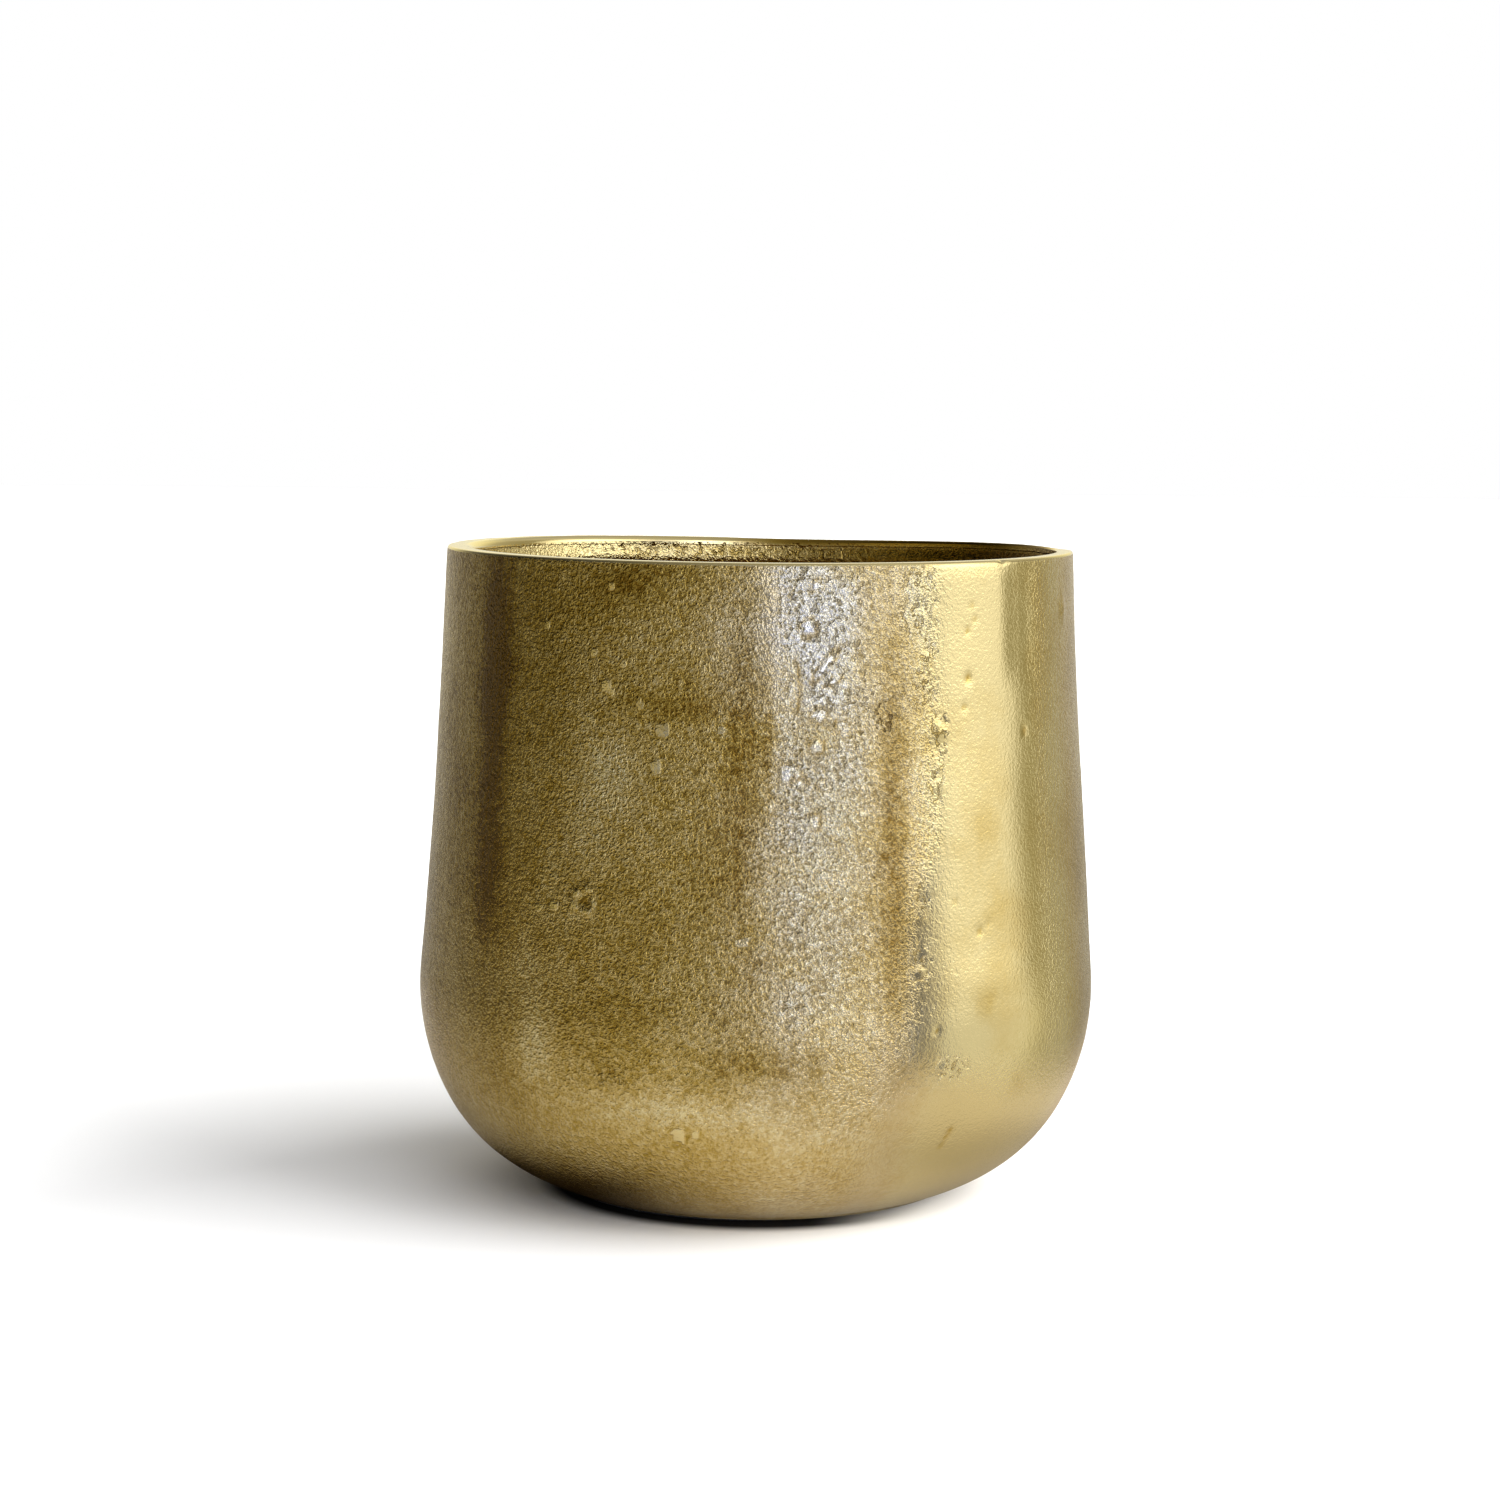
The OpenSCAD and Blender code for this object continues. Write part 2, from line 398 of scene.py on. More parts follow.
def bloom_and_sheen_map(azimuth, z):
    """A greyish bloom on the raw cast skin, strongest right of the middle, fading towards the foot. Right of
    the middle it also stands for the pale reflection of the light there, a painted highlight.
    """
    degrees = np.degrees(azimuth)
    band = np.exp(-((degrees - 9) / 13) ** 2)
    band = band * (0.35 + 0.65 * smooth(z, 40, 80)) * (0.7 + 0.3 * smooth(z, 140, 175))
    back = 0.4 * np.exp(-((np.abs(degrees) - 150) / 22) ** 2)
    unrolled = np.stack([100 * azimuth, z, 0 * z], axis=2).reshape(-1, 3)
    uneven = 0.85 + 0.5 * noise(unrolled, 9, 41).reshape(z.shape)
    return np.clip(band * uneven + back, 0, 1)


def add_attribute(mesh, name, values):
    layer = mesh.attributes.new(name, "FLOAT", "POINT")
    layer.data.foreach_set("value", np.ascontiguousarray(values, dtype=np.float32).ravel())


def make_pot():
    outline, zones = section()
    azimuths = column_azimuths()
    rows, cols = len(outline), len(azimuths)
    wall = Wall(outline, zones, azimuths)
    az = wall.azimuth
    r = outline[:, :1] + np.zeros_like(az)
    z = outline[:, 1:] + np.zeros_like(az)
    zone = zones[:, None] + np.zeros_like(az)

    position = np.stack([r * np.sin(az), -r * np.cos(az), z], axis=2).reshape(-1, 3)
    slow = (0.24 * noise(position, 52, 3) + 0.13 * noise(position, 24, 5)).reshape(az.shape)
    lumps = (0.07 * noise(position, 9, 7) + 0.07 * noise(position, 4.2, 9)).reshape(az.shape)
    fine = 0.08 * noise(position, 2.3, 13).reshape(az.shape)
    grain = np.where(zone == 1, grain_map(az, z), np.where(zone == 3, 0.28, 0.05))
    cast_skin = (lumps + fine) * grain ** 1.5 * (1 + 0.2 * bloom_and_sheen_map(az, z))
    mouth = smooth(z, 140, 180)
    gritty = 0.35 + (smooth(-abs(turn_from(az, -171)), -34, -22) - 0.35) * mouth
    inner_skin = (2 * lumps + 1.5 * fine) * (0.3 + 0.7 * gritty)
    height = np.where(zone == 1, slow + cast_skin, 0) + np.where(zone == 3, slow + inner_skin, 0)
    add_swells(wall, height)
    clean = np.where(zone == 2, 1.0, 0.0) * np.ones_like(az)
    dirt_and_edge_shade = np.zeros_like(az)
    coarse = np.where(zone == 3, 0.08 + 0.5 * gritty, 0)
    add_marks(wall, height, clean, dirt_and_edge_shade, coarse)
    # the foot and the lip stay true
    height *= np.where(zone == 1, smooth(RIM_Z - z, 0.5, 5) * smooth(z, BASE_Z, BASE_Z + 6), 1)
    height *= np.where(zone == 3, smooth(RIM_Z - z, 2, 7), 1)

    tangent = np.gradient(outline, axis=0)
    tangent /= np.linalg.norm(tangent, axis=1)[:, None]
    # the mouth's edge was rounded more at the left than at the right
    mouth_r = RIM_R - LIP_T
    round_by = np.where((zone == 2) & (r < mouth_r + LIP_INNER_ROUND + 0.01), 0.62 - 0.34 * np.sin(az), 1)
    r = np.where(round_by < 1, mouth_r + (r - mouth_r) * round_by, r)
    z = np.where(round_by < 1, RIM_Z - (RIM_Z - z) * round_by, z)
    # at the back right it was ground down towards the outside, and a dark line of painted shade runs along
    # its inner edge
    sloped = smooth(-abs(turn_from(az, 138)), -52, -34) * np.where(zone == 2, 1, 0)
    z = z - 0.55 * sloped * smooth(r, RIM_R - LIP_T, RIM_R - 1)
    dirt_and_edge_shade = np.maximum(dirt_and_edge_shade, 0.85 * sloped * smooth(mouth_r + 0.9 - r, 0, 0.3))
    # and the lip was ground thicker at the left
    inward = np.clip((RIM_R - RIM_OUTER_ROUND - r) / (LIP_T - RIM_OUTER_ROUND - LIP_INNER_ROUND), 0, 1)
    inward = inward * smooth(z, RIM_Z - LIP_H - LIP_TAPER, RIM_Z - LIP_H) * np.where(zone >= 2, 1, 0)
    r = r + LIP_UNEVEN * np.sin(az) * inward
    # the whole lip follows the uneven rim, fading out down the wall
    z = z - rim_sag(az) * smooth(z, RIM_Z - 45, RIM_Z)
    for degrees, size, depth in CHIPS:
        across = np.radians(turn_from(az, degrees)) * r
        edge = np.exp(-((r - RIM_R + 0.4) / 1.1) ** 2) * smooth(z, RIM_Z - 5, RIM_Z - 2.5)
        z = z - depth * np.exp(-(across / size) ** 2) * edge
    r = r + tangent[:, 1:] * height
    z = z - tangent[:, :1] * height
    position = np.stack([r * np.sin(az), -r * np.cos(az), z], axis=2).reshape(-1, 3) * MM

    index = np.arange(rows * cols).reshape(rows, cols)
    a, b = index[:-1], index[1:]
    quads = np.stack([a, np.roll(a, -1, 1), np.roll(b, -1, 1), b], axis=2).reshape(-1, 4)
    faces = [tuple(q) for q in quads.tolist()]
    faces.append(tuple(index[0][::-1].tolist()))
    faces.append(tuple(index[-1].tolist()))
    mesh = bpy.data.meshes.new("pot_shell_cast")
    mesh.from_pydata(position.tolist(), [], faces)
    mesh.shade_smooth()
    # inner wall near the mouth: less patina on the left, where the light falls on it, and more on the right,
    # in the shade: painted light and painted shade, with a lighter stripe at azimuth -141
    inside = 0.45 + (0.62 * np.sin(az) - 0.11 - 0.3 * np.exp(-(turn_from(az, -141) / 4) ** 2)) * mouth
    patina = np.where(zone == 1, patina_map(az, z), np.where(zone == 3, inside, 0.05))
    add_stains_and_painted_shading(wall, patina)
    # the patina attribute also carries the painted shade and painted highlights of the table of light and
    # dark areas
    add_attribute(mesh, "patina", patina)
    add_attribute(mesh, "grain", grain * (1 - 0.8 * clean))
    add_attribute(mesh, "clean", clean)
    add_attribute(mesh, "dirt_and_edge_shade", dirt_and_edge_shade)
    skin = bloom_and_sheen_map(az, z) * (0.75 + 0.25 * smooth(z, 90, 140))
    skin = skin * (1 - 0.9 * np.exp(-((np.degrees(az) - 1.5) / 2.4) ** 2))
    coarse = np.maximum(coarse, np.where(zone == 1, 0.8 * skin, 0))
    add_attribute(mesh, "coarse", coarse)
    # the bloom and its painted highlight, a little stronger at azimuth 23
    greyed_bloom_and_sheen = bloom_and_sheen_map(az, z) + 0.3 * np.exp(-((np.degrees(az) - 23) / 4.5) ** 2)
    add_attribute(mesh, "bloom_and_sheen", np.where(zone == 1, greyed_bloom_and_sheen, 0))
    pot = bpy.data.objects.new("pot_shell_cast", mesh)
    bpy.context.scene.collection.objects.link(pot)
    return pot


# ---------------------------------------------------------------------------
# Felt disc
# ---------------------------------------------------------------------------
def make_felt():
    """A hand-cut felt disc: soft rounded edge, slightly uneven outline and thickness."""
    centre = (np.array(FELT_LO[:2]) + np.array(FELT_HI[:2])) / 2 / MM
    radius = (FELT_HI[0] - FELT_LO[0]) / MM / 2
    low, high = FELT_LO[2] / MM, FELT_HI[2] / MM
    half = (high - low) / 2
    edge = arc([radius - half, low + half], half, -math.pi / 2, math.pi / 2, 0.35)
    rings = np.linspace(0.5, radius - half, 26)[:-1]
    outline = np.concatenate([np.stack([rings, np.full(25, low)], 1), edge,
                              np.stack([rings[::-1], np.full(25, high)], 1)])
    cols = 240
    az = np.linspace(-math.pi, math.pi, cols, endpoint=False)[None, :] + np.zeros((len(outline), 1))
    r = outline[:, :1] + np.zeros_like(az)
    z = outline[:, 1:] + np.zeros_like(az)
    flat = np.stack([r * np.sin(az), -r * np.cos(az), z], axis=2).reshape(-1, 3)
    cut = (0.25 * noise(flat * (1, 1, 0), 17, 31) + 0.12 * noise(flat, 3.1, 33)).reshape(az.shape) - 0.3
    r = r + cut * smooth(r, radius - 6, radius)
    z = z + 0.10 * np.abs(noise(flat, 5.5, 35)).reshape(az.shape) * np.where(z < low + half, 1, -1)
    position = np.stack([centre[0] + r * np.sin(az), centre[1] - r * np.cos(az), z], axis=2)
    position = position.reshape(-1, 3) * MM
    index = np.arange(position.shape[0]).reshape(len(outline), cols)
    a, b = index[:-1], index[1:]
    quads = np.stack([a, np.roll(a, -1, 1), np.roll(b, -1, 1), b], axis=2).reshape(-1, 4)
    faces = [tuple(q) for q in quads.tolist()]
    faces.append(tuple(index[0][::-1].tolist()))
    faces.append(tuple(index[-1].tolist()))
    mesh = bpy.data.meshes.new("felt_disc_soft")
    mesh.from_pydata(position.tolist(), [], faces)
    mesh.shade_smooth()
    felt = bpy.data.objects.new("felt_disc_soft", mesh)
    bpy.context.scene.collection.objects.link(felt)
    return felt


# ---------------------------------------------------------------------------
# Materials
# ---------------------------------------------------------------------------
def new_material(name):
    """An empty node material and helpers to add nodes and links to it."""
    mat = bpy.data.materials.new(name)
    mat.use_nodes = True
    tree = mat.node_tree
    tree.nodes.clear()
    out = tree.nodes.new("ShaderNodeOutputMaterial")
    return mat, tree, out


def set_inputs(node, values):
    for key, value in values.items():
        node.inputs[key].default_value = value
    return node


def math_node(tree, operation, *values, clamp=False):
    node = tree.nodes.new("ShaderNodeMath")
    node.operation = operation
    node.use_clamp = clamp
    for i, value in enumerate(values):
        if isinstance(value, (int, float)):
            node.inputs[i].default_value = value
        else:
            tree.links.new(value, node.inputs[i])
    return node.outputs[0]


def noise_node(tree, vector, scale, detail, roughness):
    """A noise texture's value, centred on zero."""
    node = tree.nodes.new("ShaderNodeTexNoise")
    set_inputs(node, {"Scale": scale, "Detail": detail, "Roughness": roughness})
    tree.links.new(vector, node.inputs["Vector"])
    return math_node(tree, "SUBTRACT", node.outputs["Fac"], 0.5)


def plateau_node(tree, value, reach):
    """Flat-topped grains from a centred noise: -1 below -reach, 1 above it, a smooth step between."""
    node = tree.nodes.new("ShaderNodeMapRange")
    node.interpolation_type = "SMOOTHSTEP"
    tree.links.new(value, node.inputs["Value"])
    node.inputs["From Min"].default_value = -reach
    node.inputs["From Max"].default_value = reach
    node.inputs["To Min"].default_value = -1.0
    return node.outputs["Result"]


def range_node(tree, value, low, high, top):
    """A smooth step from 0 at `low` to `top` at `high`."""
    node = tree.nodes.new("ShaderNodeMapRange")
    node.interpolation_type = "SMOOTHSTEP"
    tree.links.new(value, node.inputs["Value"])
    node.inputs["From Min"].default_value = low
    node.inputs["From Max"].default_value = high
    node.inputs["To Max"].default_value = top
    return node.outputs["Result"]


def mix_colours(tree, factor, a, b):
    node = tree.nodes.new("ShaderNodeMix")
    node.data_type = "RGBA"
    tree.links.new(factor, node.inputs["Factor"])
    sockets = [socket for socket in node.inputs if socket.type == "RGBA"]
    for socket, value in zip(sockets, (a, b)):
        if isinstance(value, tuple):
            socket.default_value = (*value, 1)
        else:
            tree.links.new(value, socket)
    return [socket for socket in node.outputs if socket.type == "RGBA"][0]


def attribute_node(tree, name):
    node = tree.nodes.new("ShaderNodeAttribute")
    node.attribute_name = name
    return node.outputs["Fac"]


def ramp_node(tree, factor, stops):
    node = tree.nodes.new("ShaderNodeValToRGB")
    elements = node.color_ramp.elements
    while len(elements) < len(stops):
        elements.new(0.5)
    for element, (position, colour) in zip(elements, stops):
        element.position = position
        element.color = (*colour, 1)
    tree.links.new(factor, node.inputs["Fac"])
    return node.outputs["Color"]


def brass_material():
    """Sand-cast brass: clean metal on the grains and flats, brown patina in the hollows."""
    mat, tree, out = new_material("cast_brass")
    nodes, links = tree.nodes, tree.links
    bsdf = set_inputs(nodes.new("ShaderNodeBsdfPrincipled"), {"Metallic": 1.0})
    coords = nodes.new("ShaderNodeTexCoord").outputs["Object"]
    stretch = nodes.new("ShaderNodeMapping")
    links.new(coords, stretch.inputs["Vector"])
    stretch.inputs["Scale"].default_value = (45, 45, 1500)
    blotch = noise_node(tree, coords, 34, 5, 0.62)
    fleck = noise_node(tree, coords, 430, 5, 0.65)
    sand = plateau_node(tree, noise_node(tree, coords, 1000, 2, 0.55), 0.15)
    pores = plateau_node(tree, noise_node(tree, coords, 1900, 1, 0.5), 0.20)
    pits = range_node(tree, noise_node(tree, coords, 520, 2, 0.6), -0.03, -0.12, 1.0)
    brush = noise_node(tree, stretch.outputs["Vector"], 1.0, 3, 0.6)
    patina, grain = attribute_node(tree, "patina"), attribute_node(tree, "grain")
    clean, dirt_and_edge_shade = attribute_node(tree, "clean"), attribute_node(tree, "dirt_and_edge_shade")
    bloom_and_sheen, coarse = attribute_node(tree, "bloom_and_sheen"), attribute_node(tree, "coarse")

    # patina: broad blotches, broken by flecks and rubbed off the tops of the grains
    amount = math_node(tree, "MULTIPLY_ADD", blotch, 0.8, patina)
    broken = math_node(tree, "MULTIPLY_ADD", math_node(tree, "MULTIPLY", fleck, grain), -2.0, amount)
    grit = math_node(tree, "MULTIPLY", math_node(tree, "MULTIPLY_ADD", pores, 0.5, sand), grain)
    pits = math_node(tree, "MULTIPLY", pits, coarse)
    grit = math_node(tree, "MULTIPLY_ADD", pits, -1.0, grit)
    rubbed = math_node(tree, "MULTIPLY_ADD", grit, -0.26, broken)
    flat = range_node(tree, clean, 0.40, 0.56, 1.0)
    spared = math_node(tree, "MULTIPLY", rubbed, math_node(tree, "MULTIPLY_ADD", flat, -0.6, 1.0))
    # more patina where dirt sits in pits and seams, and the painted shade along the rim's inner edge at the
    # back right
    amount = math_node(tree, "MAXIMUM", spared, dirt_and_edge_shade, clamp=True)
    colour = ramp_node(tree, amount, [
        (0.0, (0.82, 0.675, 0.32)), (0.35, (0.66, 0.48, 0.155)),
        (0.7, (0.44, 0.285, 0.045)), (1.0, (0.23, 0.125, 0.012)),
    ])
    # paler, greyer colour right of the middle: partly the bloom, partly a painted highlight for the pale
    # reflection there
    pale_bloom_and_sheen = math_node(tree, "MULTIPLY", bloom_and_sheen, math_node(tree, "SUBTRACT", 1.0, amount))
    colour = mix_colours(tree, pale_bloom_and_sheen, colour, (0.86, 0.80, 0.62))
    hollow = range_node(tree, grit, -0.1, -0.9, 0.75)
    colour = mix_colours(tree, math_node(tree, "MULTIPLY", hollow, bloom_and_sheen), colour, (0.30, 0.24, 0.13))
    links.new(colour, bsdf.inputs["Base Color"])
    rough = math_node(tree, "MULTIPLY_ADD", grain, 0.03, 0.15)
    rough = math_node(tree, "MULTIPLY_ADD", amount, 0.05, rough)
    # a little rougher towards the foot
    foot = nodes.new("ShaderNodeSeparateXYZ")
    links.new(coords, foot.inputs[0])
    rough = math_node(tree, "ADD", rough, range_node(tree, foot.outputs[2], 0.075, 0.035, 0.07))
    links.new(rough, bsdf.inputs["Roughness"])

    # relief too fine for the mesh: sand grain, fine pits, the edges of worn flats and faint brushing
    height = math_node(tree, "MULTIPLY_ADD", math_node(tree, "MULTIPLY", fleck, grain), 1.2, grit)
    height = math_node(tree, "MULTIPLY_ADD", pits, -2.2, height)
    height = math_node(tree, "MULTIPLY", height, math_node(tree, "MULTIPLY_ADD", bloom_and_sheen, 0.2, 1.0))
    height = math_node(tree, "MULTIPLY_ADD", brush, 0.05, height)
    height = math_node(tree, "MULTIPLY_ADD", flat, 0.8, height)
    bump = set_inputs(nodes.new("ShaderNodeBump"), {"Strength": 1.0, "Distance": 0.00017})
    links.new(height, bump.inputs["Height"])
    links.new(bump.outputs["Normal"], bsdf.inputs["Normal"])
    links.new(bsdf.outputs["BSDF"], out.inputs["Surface"])
    return mat


def felt_material():
    """Black pressed felt with short matted fibres."""
    mat, tree, out = new_material("black_felt")
    nodes, links = tree.nodes, tree.links
    bsdf = set_inputs(nodes.new("ShaderNodeBsdfPrincipled"), {
        "Roughness": 1.0, "Specular IOR Level": 0.1, "Sheen Weight": 0.15, "Sheen Roughness": 0.5,
    })
    coords = nodes.new("ShaderNodeTexCoord").outputs["Object"]
    matted = noise_node(tree, coords, 420, 5, 0.7)
    fibre = noise_node(tree, coords, 1500, 3, 0.6)
    shade = math_node(tree, "MULTIPLY_ADD", math_node(tree, "ADD", matted, fibre), 0.7, 0.5, clamp=True)
    colour = ramp_node(tree, shade, [(0.15, (0.004, 0.004, 0.005)), (0.9, (0.022, 0.022, 0.024))])
    links.new(colour, bsdf.inputs["Base Color"])
    bump = set_inputs(nodes.new("ShaderNodeBump"), {"Strength": 1.0, "Distance": 0.0006})
    links.new(math_node(tree, "ADD", matted, fibre), bump.inputs["Height"])
    links.new(bump.outputs["Normal"], bsdf.inputs["Normal"])
    links.new(bsdf.outputs["BSDF"], out.inputs["Surface"])
    return mat


TABLE_CENTRE = (-0.03, 0.07)   # the table top that shows in the brass, in metres from the pot's axis
TABLE_HALF = (0.15, 0.215)
TABLE_SOFT = (0.08, 0.035)      # how far its edges fade out, across and back
TABLE = (0.60, 0.585, 0.59)
TABLE_RIGHT = (0.46, 0.43, 0.40)
# painted shade on the table top near the foot: darker at the right, near-black at the left
TABLE_RIGHT_PAINTED_SHADE = (0.29, 0.27, 0.24)
TABLE_PAINTED_CONTACT_SHADOW = (0.05, 0.034, 0.022)


def floor_material():
    """White sweep for the camera, with a painted contact shadow round the foot except at the right. In the
    brass only a small table top shows, with painted shade near the foot.
    """
    mat, tree, out = new_material("floor_white")
    nodes, links = tree.nodes, tree.links
    bsdf = set_inputs(nodes.new("ShaderNodeBsdfPrincipled"), {"Roughness": 0.9, "Specular IOR Level": 0.0})
    path = nodes.new("ShaderNodeLightPath").outputs["Is Camera Ray"]
    xyz = nodes.new("ShaderNodeSeparateXYZ")
    links.new(nodes.new("ShaderNodeTexCoord").outputs["Object"], xyz.inputs[0])
    length = nodes.new("ShaderNodeVectorMath")
    length.operation = "LENGTH"
    links.new(nodes.new("ShaderNodeTexCoord").outputs["Object"], length.inputs[0])
    left = range_node(tree, xyz.outputs[0], -0.005, -0.055, 1.0)
    near = range_node(tree, length.outputs["Value"], 0.099, 0.078, 1.0)
    beside = range_node(tree, length.outputs["Value"], 0.13, 0.092, 1.0)
    right = range_node(tree, xyz.outputs[0], 0.0, 0.075, 1.0)
    # painted shade: the table top turns near-black close to the foot at the left and darker close to it at
    # the right
    table = mix_colours(tree, math_node(tree, "MULTIPLY", left, near), TABLE, TABLE_PAINTED_CONTACT_SHADOW)
    table = mix_colours(tree, right, table, mix_colours(tree, beside, TABLE_RIGHT, TABLE_RIGHT_PAINTED_SHADE))
    # painted contact shadow: the sweep turns near-black close round the foot, except at the right
    painted_contact_shadow = math_node(tree, "MULTIPLY", range_node(tree, length.outputs["Value"], 0.067, 0.059, 1.0),
                      range_node(tree, xyz.outputs[0], 0.055, 0.015, 1.0))
    camera_floor_with_painted_shadow = mix_colours(tree, painted_contact_shadow, (0.95, 0.95, 0.95), (0.02, 0.02, 0.02))
    links.new(mix_colours(tree, path, table, camera_floor_with_painted_shadow), bsdf.inputs["Base Color"])
    inside = 1.0
    for value, centre, half, soft in zip(xyz.outputs, TABLE_CENTRE, TABLE_HALF, TABLE_SOFT):
        away = math_node(tree, "ABSOLUTE", math_node(tree, "SUBTRACT", value, centre))
        inside = math_node(tree, "MULTIPLY", inside, range_node(tree, away, half + soft, half, 1.0))
    blend = nodes.new("ShaderNodeMixShader")
    links.new(math_node(tree, "MAXIMUM", inside, path), blend.inputs[0])
    links.new(nodes.new("ShaderNodeBsdfTransparent").outputs[0], blend.inputs[1])
    links.new(bsdf.outputs["BSDF"], blend.inputs[2])
    links.new(blend.outputs[0], out.inputs["Surface"])
    return mat


# ---------------------------------------------------------------------------
# Studio
# ---------------------------------------------------------------------------
# The room at the horizon: azimuth in degrees from the camera's side towards +X,
# brightness, and tint, below 0 warm and above 0 cool
ROOM_RING = [
    (-180, 0.90, -0.4), (-160, 0.80, -0.3), (-145, 0.36, 0), (-128, 0.34, -0.5), (-116, 0.10, -1.4),
    (-107, 0.01, -1.6), (-97, 0.01, -1.8), (-86, 0.24, -1.7), (-64, 0.62, -1.1), (-48, 0.56, -0.5),
    (-36, 0.47, 0.1), (-14, 0.37, 1.2), (2, 0.33, 1.7), (9, 0.38, 1.5), (13, 1.15, 1.1),
    (17.5, 3.10, 0.9), (28, 3.00, 0.9), (33, 0.85, 1.2), (39, 0.24, 1.6), (50, 0.14, 1.8),
    (57, 0.29, 1.2), (62, 0.58, 0.4), (68, 1.16, 0.1), (80, 1.10, 0.1), (97, 1.14, 0.1),
    (105, 0.30, -1.0), (115, 0.32, -1.1), (136, 0.48, -0.4), (155, 0.80, 0.1), (180, 0.90, -0.4),
]
# The same room above head height
ROOM_UPPER = [
    (-180, 1.05, -1.0), (-160, 0.95, -1.0), (-140, 0.45, -0.6), (-118, 0.22, -1), (-100, 0.12, -1),
    (-80, 0.22, -1.2), (-50, 0.34, -0.6), (-20, 0.34, 0.2), (0, 0.38, 0.6), (13, 1.50, 0.6),
    (26, 2.80, 0.6), (36, 1.80, 0.6), (46, 0.90, 0.5), (62, 2.10, 0.1), (84, 2.60, 0),
    (98, 1.60, 0), (110, 0.30, -0.8), (140, 0.48, -0.6), (160, 0.95, -1.0), (180, 1.05, -1.0),
]
# What lies below the horizon past the table
ROOM_LOWER = [
    (-180, 0.50, 0), (-140, 0.34, 0), (-116, 0.15, -0.8), (-105, 0.08, -1), (-85, 0.34, -1.1),
    (-64, 0.54, -0.4), (-36, 0.46, 1.1), (-14, 0.34, 2.4), (2, 0.28, 2.7), (10, 0.34, 2.3),
    (16, 1.15, 1.4), (30, 1.45, 1.4), (40, 0.28, 1.6), (50, 0.16, 1.6), (59, 0.36, 0.6),
    (67, 0.80, 0), (80, 0.76, 0), (97, 0.86, 0), (106, 0.74, -0.5), (116, 0.38, -0.7),
    (140, 0.40, -0.3), (180, 0.50, 0),
]
UPPER_FROM = (0.05, 0.11)        # sine of elevation over which the ring passes into the upper ring
LOWER_FROM = (-0.02, -0.16)      # and into the lower one
CEILING = 0.36                   # overhead, and CEILING_SIDE brighter at +X and darker at -X
CEILING_SIDE = 0.42
CEILING_FROM = (0.22, 0.50)      # how high (sine of elevation) the walls of the room pass into the ceiling
CEILING_SLOPE = 0.22             # the ceiling starts lower towards -X
# Lamps that light the floor and the felt; bare metal only mirrors, and they are kept out of mirrors.
# Azimuth, elevation, width in degrees, strength
KEY_LAMP = (85, 22, 80, 6.5)
FILL_LAMP = (30, 25, 60, 1.8)
BACK_LAMP = (-150, 45, 70, 0.48)
# The camera: a longer lens from further away, or a shorter one from nearer, fits the photo about as well
CAMERA_LENS = 81.6               # mm, on a sensor 36 mm wide
CAMERA_AT = (0, -1.004, 0.240)   # metres
CAMERA_PITCH = 6.28              # degrees down
CAMERA_ROLL = 0.55               # degrees
CAMERA_YAW = 0.14


def tinted(value, tint):
    return (value * (1 - 0.07 * tint), value, value * (1 + 0.36 * tint))


def room_node(tree, turn, level):
    """The room's colour round the pot at one level; `turn` is 0 to 1 from the back round to the back."""
    stops = [(degrees / 360 + 0.5, tinted(value, tint)) for degrees, value, tint in level]
    return ramp_node(tree, turn, stops)


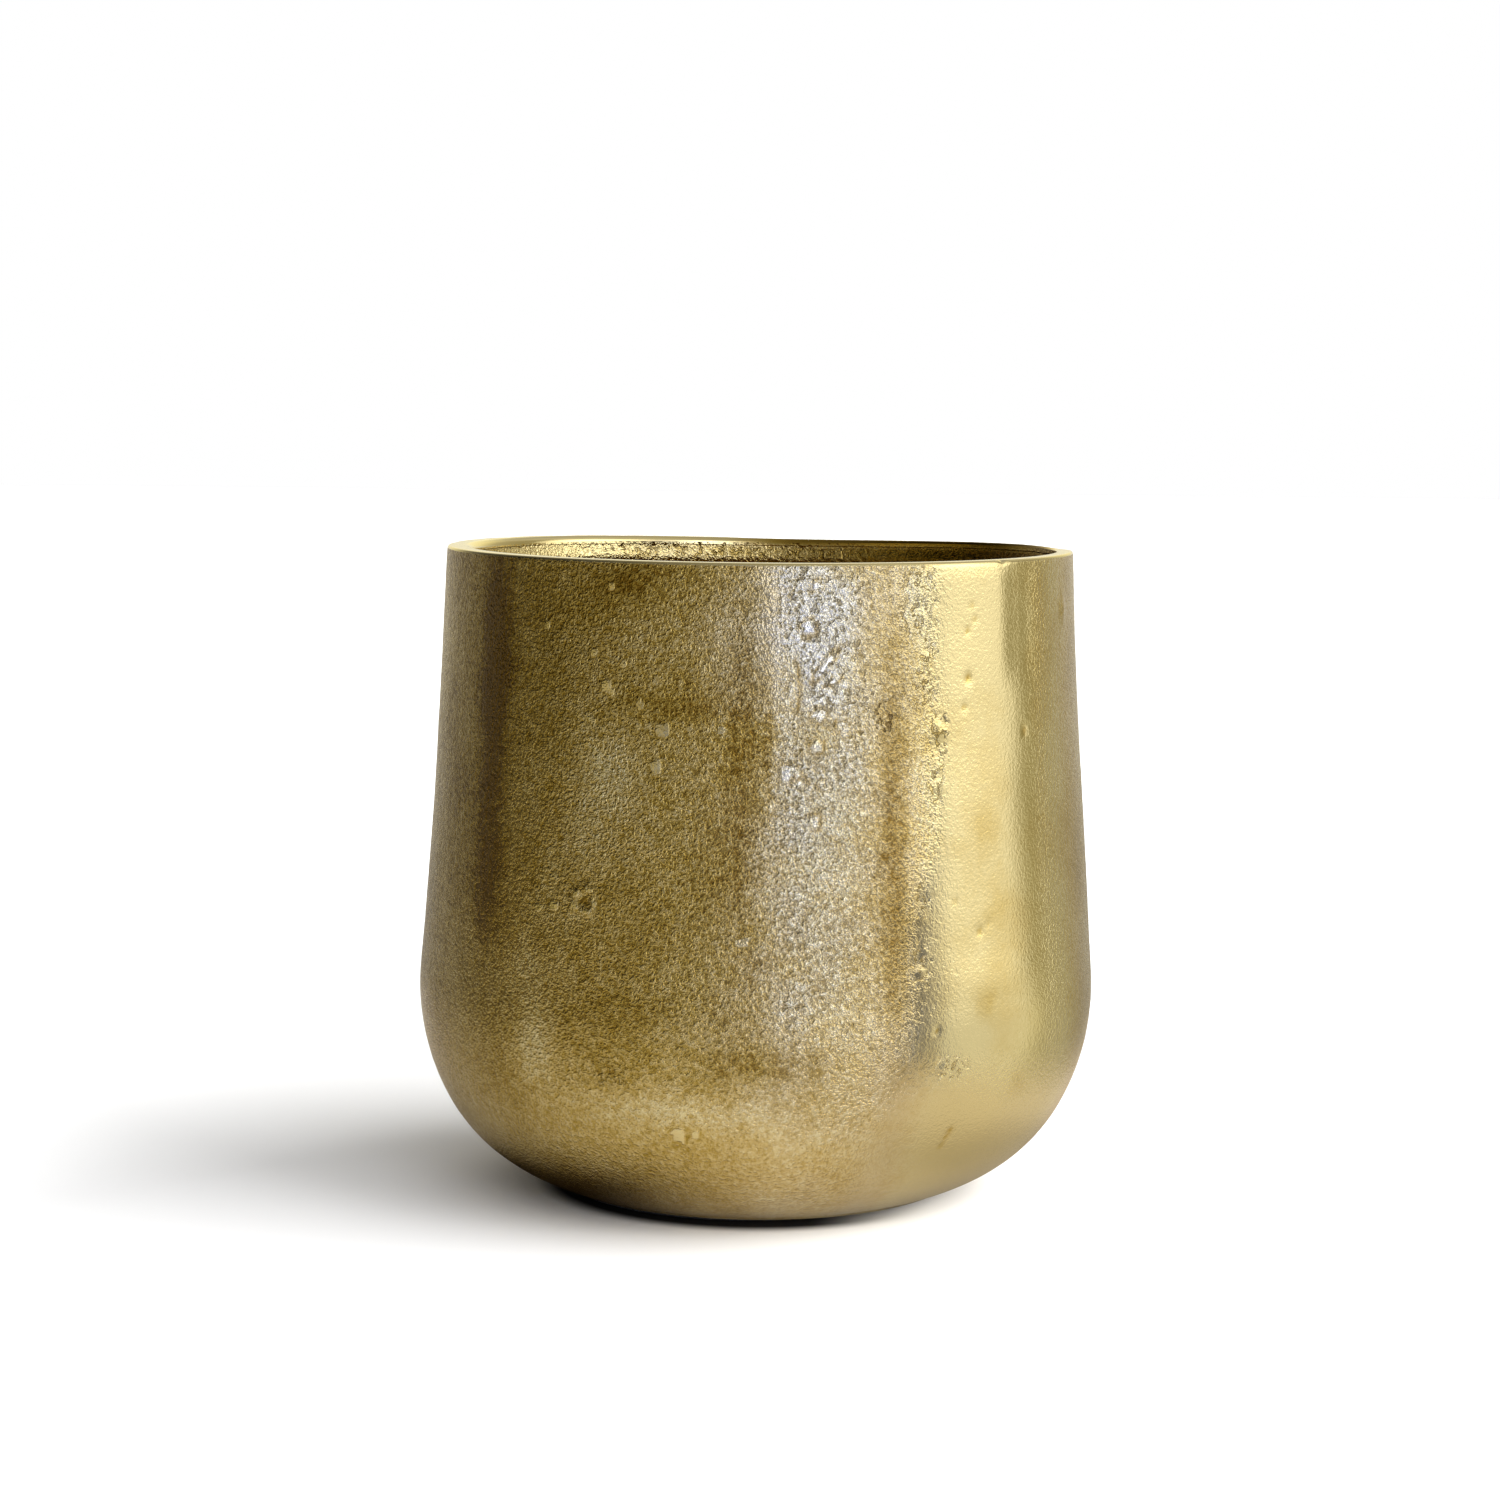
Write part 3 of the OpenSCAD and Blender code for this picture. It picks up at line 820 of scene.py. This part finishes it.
def add_world():
    """A white sweep for the camera; for the brass a dim room, bright near the front and at the right."""
    world = bpy.data.worlds.new("studio")
    bpy.context.scene.world = world
    world.use_nodes = True
    tree = world.node_tree
    nodes, links = tree.nodes, tree.links
    nodes.clear()
    out = nodes.new("ShaderNodeOutputWorld")
    background = nodes.new("ShaderNodeBackground")
    links.new(background.outputs[0], out.inputs["Surface"])
    coords = nodes.new("ShaderNodeTexCoord").outputs["Generated"]
    xyz = nodes.new("ShaderNodeSeparateXYZ")
    links.new(coords, xyz.inputs[0])
    x, y, z = xyz.outputs
    azimuth = math_node(tree, "ARCTAN2", x, math_node(tree, "MULTIPLY", y, -1.0))
    turn = math_node(tree, "MULTIPLY_ADD", azimuth, 0.5 / math.pi, 0.5)
    ring, upper, lower = (room_node(tree, turn, level) for level in (ROOM_RING, ROOM_UPPER, ROOM_LOWER))
    ring = mix_colours(tree, range_node(tree, z, *LOWER_FROM, 1.0), ring, lower)
    ring = mix_colours(tree, range_node(tree, z, *UPPER_FROM, 1.0), ring, upper)
    ceiling = math_node(tree, "MULTIPLY_ADD", x, CEILING_SIDE, CEILING)
    above = math_node(tree, "MULTIPLY_ADD", x, -CEILING_SLOPE, z)
    room = mix_colours(tree, range_node(tree, above, *CEILING_FROM, 1.0), ring, ceiling)
    path = nodes.new("ShaderNodeLightPath").outputs["Is Camera Ray"]
    links.new(mix_colours(tree, path, room, (1.0, 1.0, 1.0)), background.inputs["Color"])


def add_lamp(name, azimuth, elevation, width, strength):
    """A wide soft lamp, a distant disc `width` degrees across, that is not mirrored in the brass."""
    data = bpy.data.lights.new(name, "SUN")
    data.energy = strength
    data.angle = math.radians(width)
    lamp = bpy.data.objects.new(name, data)
    lamp.rotation_euler = (math.radians(90 - elevation), 0, math.radians(azimuth))
    lamp.visible_glossy = False
    bpy.context.scene.collection.objects.link(lamp)


def add_camera():
    data = bpy.data.cameras.new("camera")
    data.lens = CAMERA_LENS
    data.sensor_width = 36.0
    data.clip_start, data.clip_end = 0.05, 50.0
    camera = bpy.data.objects.new("camera", data)
    bpy.context.scene.collection.objects.link(camera)
    pitch, roll, yaw = (math.radians(a) for a in (CAMERA_PITCH, CAMERA_ROLL, CAMERA_YAW))
    turn = Matrix.Rotation(yaw, 4, "Z") @ Matrix.Rotation(math.pi / 2 - pitch, 4, "X")
    turn = turn @ Matrix.Rotation(roll, 4, "Z")
    camera.matrix_world = Matrix.Translation(CAMERA_AT) @ turn
    bpy.context.scene.camera = camera


def add_floor():
    size = 6.0
    mesh = bpy.data.meshes.new("floor")
    corners = [(-size, -size, 0), (size, -size, 0), (size, size, 0), (-size, size, 0)]
    mesh.from_pydata(corners, [], [(0, 1, 2, 3)])
    floor = bpy.data.objects.new("floor", mesh)
    bpy.context.scene.collection.objects.link(floor)
    floor.data.materials.append(floor_material())


add_camera()
add_world()
add_lamp("key", *KEY_LAMP)
add_lamp("fill", *FILL_LAMP)
add_lamp("back", *BACK_LAMP)
add_floor()
bpy.context.scene.view_settings.view_transform = "Standard"

pot = make_pot()
pot.data.materials.append(brass_material())
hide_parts("pot_shell")
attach(pot, "root")

felt = make_felt()
felt.data.materials.append(felt_material())
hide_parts("felt_base_disc")
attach(felt, "root")
